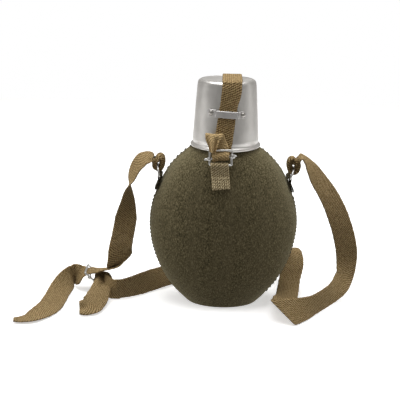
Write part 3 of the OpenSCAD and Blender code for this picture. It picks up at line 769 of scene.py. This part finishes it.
def make_buckle(metal):
    """Closure buckle: the wire frame, and the bar whose eyes run on its side wires."""
    across = Vector((BUCKLE_HALF, 0, 0))
    corners = [BUCKLE_LOW - across, BUCKLE_LOW + across, BUCKLE_HIGH + across, BUCKLE_HIGH - across]
    wire = wire_frame("buckle_wire", corners, metal)
    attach(wire, "closure_buckle")
    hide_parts("buckle_frame")
    run = (BAR_HIGH - BAR_LOW).normalized()
    way = (BUCKLE_HIGH - BUCKLE_LOW).normalized()
    parts = [tube("bar_rod", [BAR_LOW - run * 4.4, BAR_LOW, BAR_HIGH, BAR_HIGH + run * 3.6], 1.15, metal),
             eye("bar_eye_left", BAR_LOW, way, 1.3, 2.6, 3.2, metal),
             eye("bar_eye_right", BAR_HIGH, way, 1.3, 3.1, 4.2, metal)]
    bar = join("buckle_slide_bar", parts)
    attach(bar, "closure_bar")
    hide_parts("buckle_bar")


def ring_outline():
    """D outline as (along the bar, away from the bar): the bar, a corner, the bow, the other corner."""
    corner = 2.2
    flattest = 0.18
    bar = [(RING_R * y, 0) for y in (-0.7, -0.4, 0, 0.4, 0.7)]
    near = arc_points((RING_R - corner, corner), corner, -90, 0, 4)
    turns = [math.pi * k / 24 for k in range(1, 24)]
    bow = [(RING_R * math.cos(a), RING_R * max(flattest, math.sin(a))) for a in turns]
    far = arc_points((corner - RING_R, corner), corner, 180, 270, 4)
    return bar + near + bow + far


def make_ring(side_name, metal):
    """D-ring: a straight bar in the tab and a half round above it."""
    side = -1 if side_name == "left" else 1
    rise = math.radians(RING_RISE[side_name])
    out = Vector((side * math.cos(rise), 0, math.sin(rise)))
    along = Vector((0, 1, 0))
    middle = Vector((side * RING_BAR.x, 0, RING_BAR.z))
    path = [middle + along * y + out * up for y, up in ring_outline()]
    ring = tube(f"d_ring_{side_name}", path, WIRE_R, metal, 16, closed=True)
    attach(ring, f"{side_name}_ring")
    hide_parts(f"ring_{side_name}")


def make_slider(metal):
    """Strap slider: its wire frame, and the bar with eyes on the side wires."""
    tilt = math.radians(SLIDER_TILT)
    down = Vector((math.cos(tilt), 0, -math.sin(tilt)))
    across = Vector((0, SLIDER_HALF, 0))
    low, high = SLIDER_MID + down * SLIDER_DOWN, SLIDER_MID - down * SLIDER_UP
    wire = wire_frame("slider_wire", [low - across, low + across, high + across, high - across], metal)
    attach(wire, "canteen")
    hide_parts("slider_frame")
    reach = across * 1.12
    parts = [tube("slider_rod", [SLIDER_MID - reach, SLIDER_MID, SLIDER_MID + reach], 1.1, metal)]
    for s in (-1, 1):
        parts.append(eye(f"slider_eye_{s + 1}", SLIDER_MID + across * s, down, 1.3, 2.4, 3.2, metal))
    bar = join("slider_cross_bar", parts)
    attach(bar, "slider_bar")
    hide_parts("slider_bar")


# ---------------- straps and tabs


def make_straps(webbing, dark_thread):
    """Both shoulder straps, and the stitches that close each one's loop round its ring."""
    long_strap = band("shoulder_strap_long", LONG_ROUTE, STRAP_W, webbing)
    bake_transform(long_strap)
    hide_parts("strap_long")
    short_strap = band("shoulder_strap_short", SHORT_ROUTE, STRAP_W, webbing, taper_from=-4)
    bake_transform(short_strap)
    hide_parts("strap_short")
    loop_threads("left", -78, 170, 4, 10, dark_thread)
    loop_threads("right", 80.5, 169, 0, 6.5, dark_thread)


def loop_threads(side_name, x, z, rise, length, dark_thread):
    """Three stitches across the gathered loop of a strap, rising by an angle in degrees."""
    lean = math.radians(rise)
    half = Vector((math.cos(lean), 0, math.sin(lean))) * length / 2
    middles = [Vector((x, y, z)) for y in (-3.4, 0, 3.4)]
    stitches = [stitch(middle - half, middle, middle + half, 0.45) for middle in middles]
    threads = thread_object(f"strap_thread_{side_name}", stitches, dark_thread)
    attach(threads, f"{side_name}_ring")
    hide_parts(f"strap_stitches_{side_name}")


def make_closure(webbing, pale_thread):
    """One strap from its sewn end on the back, over the cup, through the buckle to its loose tail."""
    x = 8
    stand_off = 0.45
    middle = stand_off + WEB_T / 2
    sewn_end = [(x, half_at(z, 1) + middle, z, 1, 0, 0, CLOSURE_W) for z in range(112, 163, 10)]
    strap = band("closure_strap_whole", sewn_end + CLOSURE_ROUTE, CLOSURE_W, webbing, ripple=0.15)
    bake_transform(strap)
    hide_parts("closure_strap", "closure_anchor")
    stitches = []
    for z in (114, 120, 126, 132):
        for k in range(-3, 4):
            face = Vector((x + 2.6 * k, half_at(z, 1) + stand_off + WEB_T, z))
            ends = [face + Vector((reach, -0.3, 0)) for reach in (-1, 1)]
            stitches.append(stitch(ends[0], face + Vector((0, 0.7, 0)), ends[1], 0.3))
    threads = thread_object("anchor_thread", stitches, pale_thread)
    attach(threads, "canteen")
    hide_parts("anchor_stitches")


def tab_lean(z):
    """Middle of the buckle's loop across the front at a height: it leans as it hangs."""
    return BUCKLE_X - 1.2 - 0.1 * (z - BUCKLE_LOW.z)


def make_buckle_tab(webbing, pale_thread):
    """Loop of webbing round the buckle's lower wire, its two ends sewn down on the front panel."""
    low, high = 147, 162
    loop_r = WIRE_R + 0.3 + WEB_T / 2
    rows = [(-half_at(z, 1) - 0.5 - WEB_T / 2, z) for z in range(low + 2, high, 3)]
    rows.append((-46.2, 168))
    rows += arc_points((BUCKLE_LOW.y, BUCKLE_LOW.z), loop_r, -10, 190, 8)
    rows += [(-half_at(z, 1) - 0.8 - 1.5 * WEB_T, z) for z in range(high, low - 1, -3)]
    route = [(tab_lean(z), y, z, 1, 0, 0, CLOSURE_W) for y, z in rows]
    tab = band("buckle_loop", route, CLOSURE_W, webbing, step=0.8, ripple=0.1)
    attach(tab, "canteen")
    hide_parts("buckle_tab")
    threads = thread_object("buckle_loop_thread", buckle_tab_stitches(), pale_thread)
    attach(threads, "canteen")
    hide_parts("buckle_tab_stitches")


def buckle_tab_stitches():
    """Three rows of upright stitches below one row of level ones."""
    upright, level = Vector((0.3, 0.11, 1.1)), Vector((1.1, 0, 0))
    sunk = Vector((0, 0.8, 0))
    stitches = []
    for z, reach in ((149.5, upright), (152.4, upright), (155.3, upright), (159.5, level)):
        face = -half_at(z, 1) - 0.8 - 2 * WEB_T
        for k in range(-3, 4):
            middle = Vector((tab_lean(z) + 2.5 * k, face - 0.55, z))
            stitches.append(stitch(middle - reach + sunk, middle, middle + reach + sunk, 0.42))
    return stitches


def make_ring_tabs(webbing, thread):
    """Thin tabs that hold the D-rings, sewn over the side seams."""
    low, high = 133, 143
    width = 20
    thick = 1.2
    loop_r = WIRE_R + 0.3 + thick / 2
    under, over = 0.3 + thick / 2, 0.5 + 1.5 * thick
    stitches = []
    for side, name in ((-1, "left"), (1, "right")):
        rows = [(half_at(z, 0) + under, z) for z in range(low + 1, high + 1, 3)]
        rows += arc_points((RING_BAR.x, RING_BAR.z), loop_r, 200, 0, 8)
        rows += [(half_at(z, 0) + over, z) for z in range(high, low - 1, -3)]
        route = [(side * x, 0, z, 0, 1, 0, width) for x, z in rows]
        tab = band(f"ring_loop_{name}", route, width, webbing, thick, ripple=0.1)
        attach(tab, "canteen")
        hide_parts(f"ring_tab_{name}")
        stitches += ring_tab_stitches(side, over + thick / 2)
    threads = thread_object("ring_loop_thread", stitches, thread)
    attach(threads, "canteen")
    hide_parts("ring_tab_stitches")


def ring_tab_stitches(side, stand_off):
    """Two level rows through a ring's tab, whose face stands off the felt by stand_off."""
    stitches = []
    for z in (135.5, 140):
        for k in range(-3, 4):
            face = Vector((side * (half_at(z, 0) + stand_off), 2.6 * k, z))
            ends = [face + Vector((-0.25 * side, reach, 0)) for reach in (-1, 1)]
            stitches.append(stitch(ends[0], face + Vector((0.6 * side, 0, 0)), ends[1], 0.3))
    return stitches


def make_cover(felt, dark_thread):
    """Two felt panels that meet in a whip-stitched seam down each side."""
    for name, start, covered in (("felt_front", 180, "cover_front"), ("felt_back", 0, "cover_back")):
        panel = felt_panel(name, start, felt)
        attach(panel, "canteen")
        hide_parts(covered)
    for side, name in ((-1, "left"), (1, "right")):
        threads = seam_threads(side, dark_thread)
        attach(threads, "canteen")
        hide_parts(f"seam_stitches_{name}")


# ---------------- materials


def new_material(name, **constants):
    """Principled material with its constant inputs set on the shader itself."""
    material = bpy.data.materials.new(name)
    material.use_nodes = True
    shader = material.node_tree.nodes["Principled BSDF"]
    for key, value in constants.items():
        shader.inputs[key.replace("_", " ")].default_value = value
    return material, material.node_tree, shader


def node(tree, kind, **inputs):
    """A node with some inputs given a value or linked to a socket: by name, or i0, i1... by number."""
    made = tree.nodes.new(kind)
    for key, value in inputs.items():
        socket = made.inputs[int(key[1:])] if key[0] == "i" and key[1:].isdigit() else made.inputs[key]
        if isinstance(value, bpy.types.NodeSocket):
            tree.links.new(value, socket)
        else:
            socket.default_value = value
    return made


def maths(tree, operation, a, b=0.0):
    """Result of one Math node."""
    made = node(tree, "ShaderNodeMath", i0=a, i1=b)
    made.operation = operation
    return made.outputs[0]


def plus(tree, a, b):
    return maths(tree, "ADD", a, b)


def times(tree, a, b):
    return maths(tree, "MULTIPLY", a, b)


def stretched(tree, where, scale):
    """Coordinates scaled by axis; a scale below 1 draws the pattern out along that axis."""
    made = node(tree, "ShaderNodeVectorMath", i0=where, i1=scale)
    made.operation = "MULTIPLY"
    return made.outputs[0]


def shade(colour, factor):
    """The colour made lighter or darker, and never brighter than white."""
    return tuple(min(1, c * factor) for c in colour)


def noise_value(tree, scale, detail=3.0, rough=0.6, where=None):
    """Noise over the object's own coordinates, scale in waves per metre."""
    if where is None:
        where = tree.nodes.new("ShaderNodeTexCoord").outputs["Object"]
    made = node(tree, "ShaderNodeTexNoise", Vector=where, Scale=scale, Detail=detail, Roughness=rough)
    return made.outputs["Fac"]


def ramp(tree, value, stops):
    """Colour ramp from (position, colour) pairs."""
    made = node(tree, "ShaderNodeValToRGB", i0=value)
    elements = made.color_ramp.elements
    while len(elements) < len(stops):
        elements.new(0.5)
    for element, (place, colour) in zip(elements, stops):
        element.position = place
        element.color = (*colour, 1)
    return made.outputs["Color"]


def mixed(tree, fac, a, b):
    """Colour from the socket a towards the plain colour b, by the socket fac."""
    fac_at, a_at, b_at = 0, 6, 7
    made = tree.nodes.new("ShaderNodeMix")
    made.data_type = "RGBA"
    tree.links.new(fac, made.inputs[fac_at])
    tree.links.new(a, made.inputs[a_at])
    made.inputs[b_at].default_value = (*b, 1)
    return made.outputs[2]


def bump(tree, shader, height, distance, strength=1.0):
    """Relief on the shader from a height socket; distance is in metres."""
    made = node(tree, "ShaderNodeBump", Height=height, Strength=strength, Distance=distance)
    tree.links.new(made.outputs["Normal"], shader.inputs["Normal"])


def felt_material():
    """Brushed wool blanket cloth: heathered olive and brown fibres with a pale nap."""
    material, tree, shader = new_material("wool_felt", Roughness=0.95, Specular_IOR_Level=0.15,
                                          Sheen_Weight=0.35, Sheen_Roughness=0.45)
    shader.inputs["Sheen Tint"].default_value = (0.75, 0.70, 0.48, 1)
    where = tree.nodes.new("ShaderNodeTexCoord").outputs["Object"]
    fleck = noise_value(tree, 820, 4, 0.7, stretched(tree, where, (1.0, 1.0, 0.55)))
    tuft = noise_value(tree, 1500, 2, 0.6, where)
    streak_noise = noise_value(tree, 75, 3, 0.6, stretched(tree, where, (1.0, 1.0, 0.08)))
    streak = node(tree, "ShaderNodeMapRange", i0=streak_noise, i1=0.38, i2=0.64).outputs[0]
    base = ramp(tree, fleck, [(0.34, (0.020, 0.016, 0.006)), (0.50, (0.085, 0.070, 0.034)),
                              (0.66, (0.235, 0.198, 0.112))])
    lighter = mixed(tree, times(tree, streak, 0.38), base, (0.125, 0.104, 0.058))
    tree.links.new(lighter, shader.inputs["Base Color"])
    bump(tree, shader, plus(tree, fleck, times(tree, tuft, 0.6)), 0.0006, 0.7)
    return material


def webbing_weave(tree, across, along, pitch):
    """Height of the weave: cords of warp, a twill over them, and the weft that crosses both."""
    turn = 2 * math.pi / pitch
    shift = times(tree, noise_value(tree, 160, 2), 2.2)
    warp = maths(tree, "SINE", plus(tree, times(tree, across, turn), shift))
    slanting = plus(tree, times(tree, across, 0.5 * turn), times(tree, along, 0.8 * turn))
    twill = maths(tree, "SINE", plus(tree, slanting, shift))
    weft = maths(tree, "SINE", times(tree, along, 1.3 * turn))
    crossing = plus(tree, times(tree, twill, 0.6), times(tree, weft, 0.25))
    return plus(tree, times(tree, warp, 0.3), crossing)


def webbing_material(name, dark, middle, light, pitch, painted_light_from=None):
    """Cotton webbing: a warp of cords crossed by a weft, from UVs that are metres.

    Past the given length in metres, the cloth is painted paler: a painted highlight that stands in for
    light falling on the strap's end.
    """
    material, tree, shader = new_material(name, Roughness=0.88, Specular_IOR_Level=0.15,
                                          Sheen_Weight=0.1, Sheen_Roughness=0.5)
    shader.inputs["Sheen Tint"].default_value = (*light, 1)
    uv = node(tree, "ShaderNodeSeparateXYZ", i0=tree.nodes.new("ShaderNodeUVMap").outputs[0])
    across, along = uv.outputs["X"], uv.outputs["Y"]
    weave = webbing_weave(tree, across, along, pitch)
    fibre = noise_value(tree, 520, 5, 0.75)
    stain = noise_value(tree, 45, 3, 0.6)
    level = plus(tree, times(tree, weave, 0.24), fibre)
    colour = ramp(tree, level, [(0.36, dark), (0.5, middle), (0.66, light)])
    stain_and_painted_light = mixed(tree, times(tree, stain, 0.45), colour, shade(middle, 0.75))
    # Painted highlight: past this length the cloth is mixed towards a pale colour, standing in for light
    # falling on the strap's end.
    if painted_light_from is not None:
        painted_light_full_at = painted_light_from + 0.012
        painted_light_ramp = node(tree, "ShaderNodeMapRange", i0=along, i1=painted_light_from, i2=painted_light_full_at, i3=0.0, i4=0.5)
        stain_and_painted_light = mixed(tree, painted_light_ramp.outputs[0], stain_and_painted_light, shade(light, 1.25))
    tree.links.new(stain_and_painted_light, shader.inputs["Base Color"])
    bump(tree, shader, plus(tree, weave, times(tree, fibre, 2.0)), 0.0005, 1.0)
    return material


def thread_material(name, colour):
    """Twisted sewing thread, darker and paler along its fibres."""
    material, tree, shader = new_material(name, Roughness=0.8, Specular_IOR_Level=0.25, Sheen_Weight=0.2)
    fibre = noise_value(tree, 1800, 3, 0.6)
    tone = ramp(tree, fibre, [(0.3, shade(colour, 0.6)), (0.7, shade(colour, 1.3))])
    tree.links.new(tone, shader.inputs["Base Color"])
    bump(tree, shader, fibre, 0.0002, 0.6)
    return material


def metal_material(name, colour, rough, scuff, grain_stretch=(1, 1, 1)):
    """Satin metal with fine turned or drawn lines, cloudy wear and small scuffs."""
    material, tree, shader = new_material(name, Metallic=1.0)
    where = tree.nodes.new("ShaderNodeTexCoord").outputs["Object"]
    grain = noise_value(tree, 900, 3, 0.65, stretched(tree, where, grain_stretch))
    cloud = noise_value(tree, 60, 4, 0.6, where)
    spots = noise_value(tree, 420, 5, 0.75, where)
    tone = ramp(tree, cloud, [(0.3, shade(colour, 0.86)), (0.7, colour)])
    dirt = times(tree, maths(tree, "GREATER_THAN", spots, 0.68), scuff)
    tree.links.new(mixed(tree, dirt, tone, shade(colour, 0.45)), shader.inputs["Base Color"])
    worn_rough = plus(tree, times(tree, cloud, 0.16), rough - 0.08)
    tree.links.new(plus(tree, worn_rough, times(tree, grain, 0.08)), shader.inputs["Roughness"])
    bump(tree, shader, grain, 0.00006, 0.35)
    return material


def plastic_material(name, colour, rough):
    """Moulded plastic or rubber with a cloudy, slightly pitted skin."""
    material, tree, shader = new_material(name, Specular_IOR_Level=0.45)
    cloud = noise_value(tree, 220, 4, 0.6)
    tone = ramp(tree, cloud, [(0.3, shade(colour, 0.8)), (0.7, shade(colour, 1.25))])
    tree.links.new(tone, shader.inputs["Base Color"])
    tree.links.new(plus(tree, times(tree, cloud, 0.2), rough - 0.1), shader.inputs["Roughness"])
    bump(tree, shader, noise_value(tree, 1200, 2), 0.00005, 0.4)
    return material


def floor_material():
    """Clean white paper with a faint tooth."""
    material, tree, shader = new_material("paper_sweep", Roughness=0.9, Specular_IOR_Level=0.1)
    tone = ramp(tree, noise_value(tree, 30, 2), [(0.3, (0.88, 0.88, 0.885)), (0.7, (0.90, 0.90, 0.90))])
    tree.links.new(tone, shader.inputs["Base Color"])
    shader.inputs["Emission Color"].default_value = (1, 1, 1, 1)
    shader.inputs["Emission Strength"].default_value = 0.47
    return material


def paint(name, material):
    """Gives a CAD node its finished material."""
    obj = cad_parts[name]
    obj.data.materials.clear()
    obj.data.materials.append(material)


# ---------------- assembly


def cloth_materials():
    """Felt, the webbings and the threads, by name."""
    return {
        "felt": felt_material(),
        "strap": webbing_material(
            "strap_webbing", (0.082, 0.049, 0.016), (0.285, 0.196, 0.088), (0.50, 0.372, 0.195), 0.0019),
        # Painted highlight on the closure webbing from 0.3 m along: the wrap round the buckle bar and the
        # loose tail are painted paler.
        "closure": webbing_material(
            "closure_webbing_cloth", (0.080, 0.046, 0.014), (0.265, 0.180, 0.078), (0.52, 0.375, 0.190),
            0.0021, painted_light_from=0.300),
        "buckle_loop": webbing_material(
            "buckle_loop_webbing", (0.120, 0.085, 0.038), (0.400, 0.315, 0.175), (0.60, 0.500, 0.320),
            0.0022),
        "ring_tab": webbing_material(
            "ring_tab_webbing", (0.020, 0.017, 0.008), (0.060, 0.050, 0.028), (0.150, 0.125, 0.075),
            0.0022),
        "dark_thread": thread_material("dark_thread_twist", (0.050, 0.044, 0.024)),
        "pale_thread": thread_material("pale_thread_twist", (0.62, 0.52, 0.32))}


def metal_materials():
    """The cup, wire, bracket, rivet and bottle metals, by name."""
    return {
        "cup": metal_material("satin_aluminium", (0.62, 0.606, 0.583), 0.34, 0.25, (1, 1, 6)),
        "wire": metal_material("dull_steel", (0.54, 0.535, 0.52), 0.28, 0.6),
        "bracket": metal_material("plated_strip", (0.60, 0.585, 0.575), 0.40, 0.5),
        "rivet": metal_material("rivet_steel", (0.40, 0.385, 0.36), 0.32, 0.8),
        "bottle": metal_material("bottle_aluminium", (0.72, 0.72, 0.71), 0.42, 0.3)}


def build_studio():
    """Colours, camera, light and floor."""
    set_colours()
    make_camera()
    make_world()
    make_lights()
    make_floor(floor_material())


def build_pieces(cloth, metal):
    """Every piece with a mesh of its own."""
    make_cover(cloth["felt"], cloth["dark_thread"])
    make_cup(metal["cup"])
    make_bracket(metal["bracket"], metal["rivet"])
    make_closure(cloth["closure"], cloth["pale_thread"])
    make_buckle_tab(cloth["buckle_loop"], cloth["pale_thread"])
    make_buckle(metal["wire"])
    make_ring_tabs(cloth["ring_tab"], cloth["dark_thread"])
    make_ring("left", metal["wire"])
    make_ring("right", metal["wire"])
    make_straps(cloth["strap"], cloth["dark_thread"])
    make_slider(metal["wire"])


def paint_inside(metal):
    """Materials for the CAD pieces under the cup and the cover."""
    paint("bottle_shell", metal["bottle"])
    paint("neck_collar", metal["bottle"])
    paint("screw_cap", plastic_material("cap_moulding", (0.035, 0.033, 0.030), 0.45))
    paint("cap_seal", plastic_material("seal_rubber_black", (0.022, 0.022, 0.022), 0.75))


def main():
    metals = metal_materials()
    build_studio()
    build_pieces(cloth_materials(), metals)
    paint_inside(metals)


main()
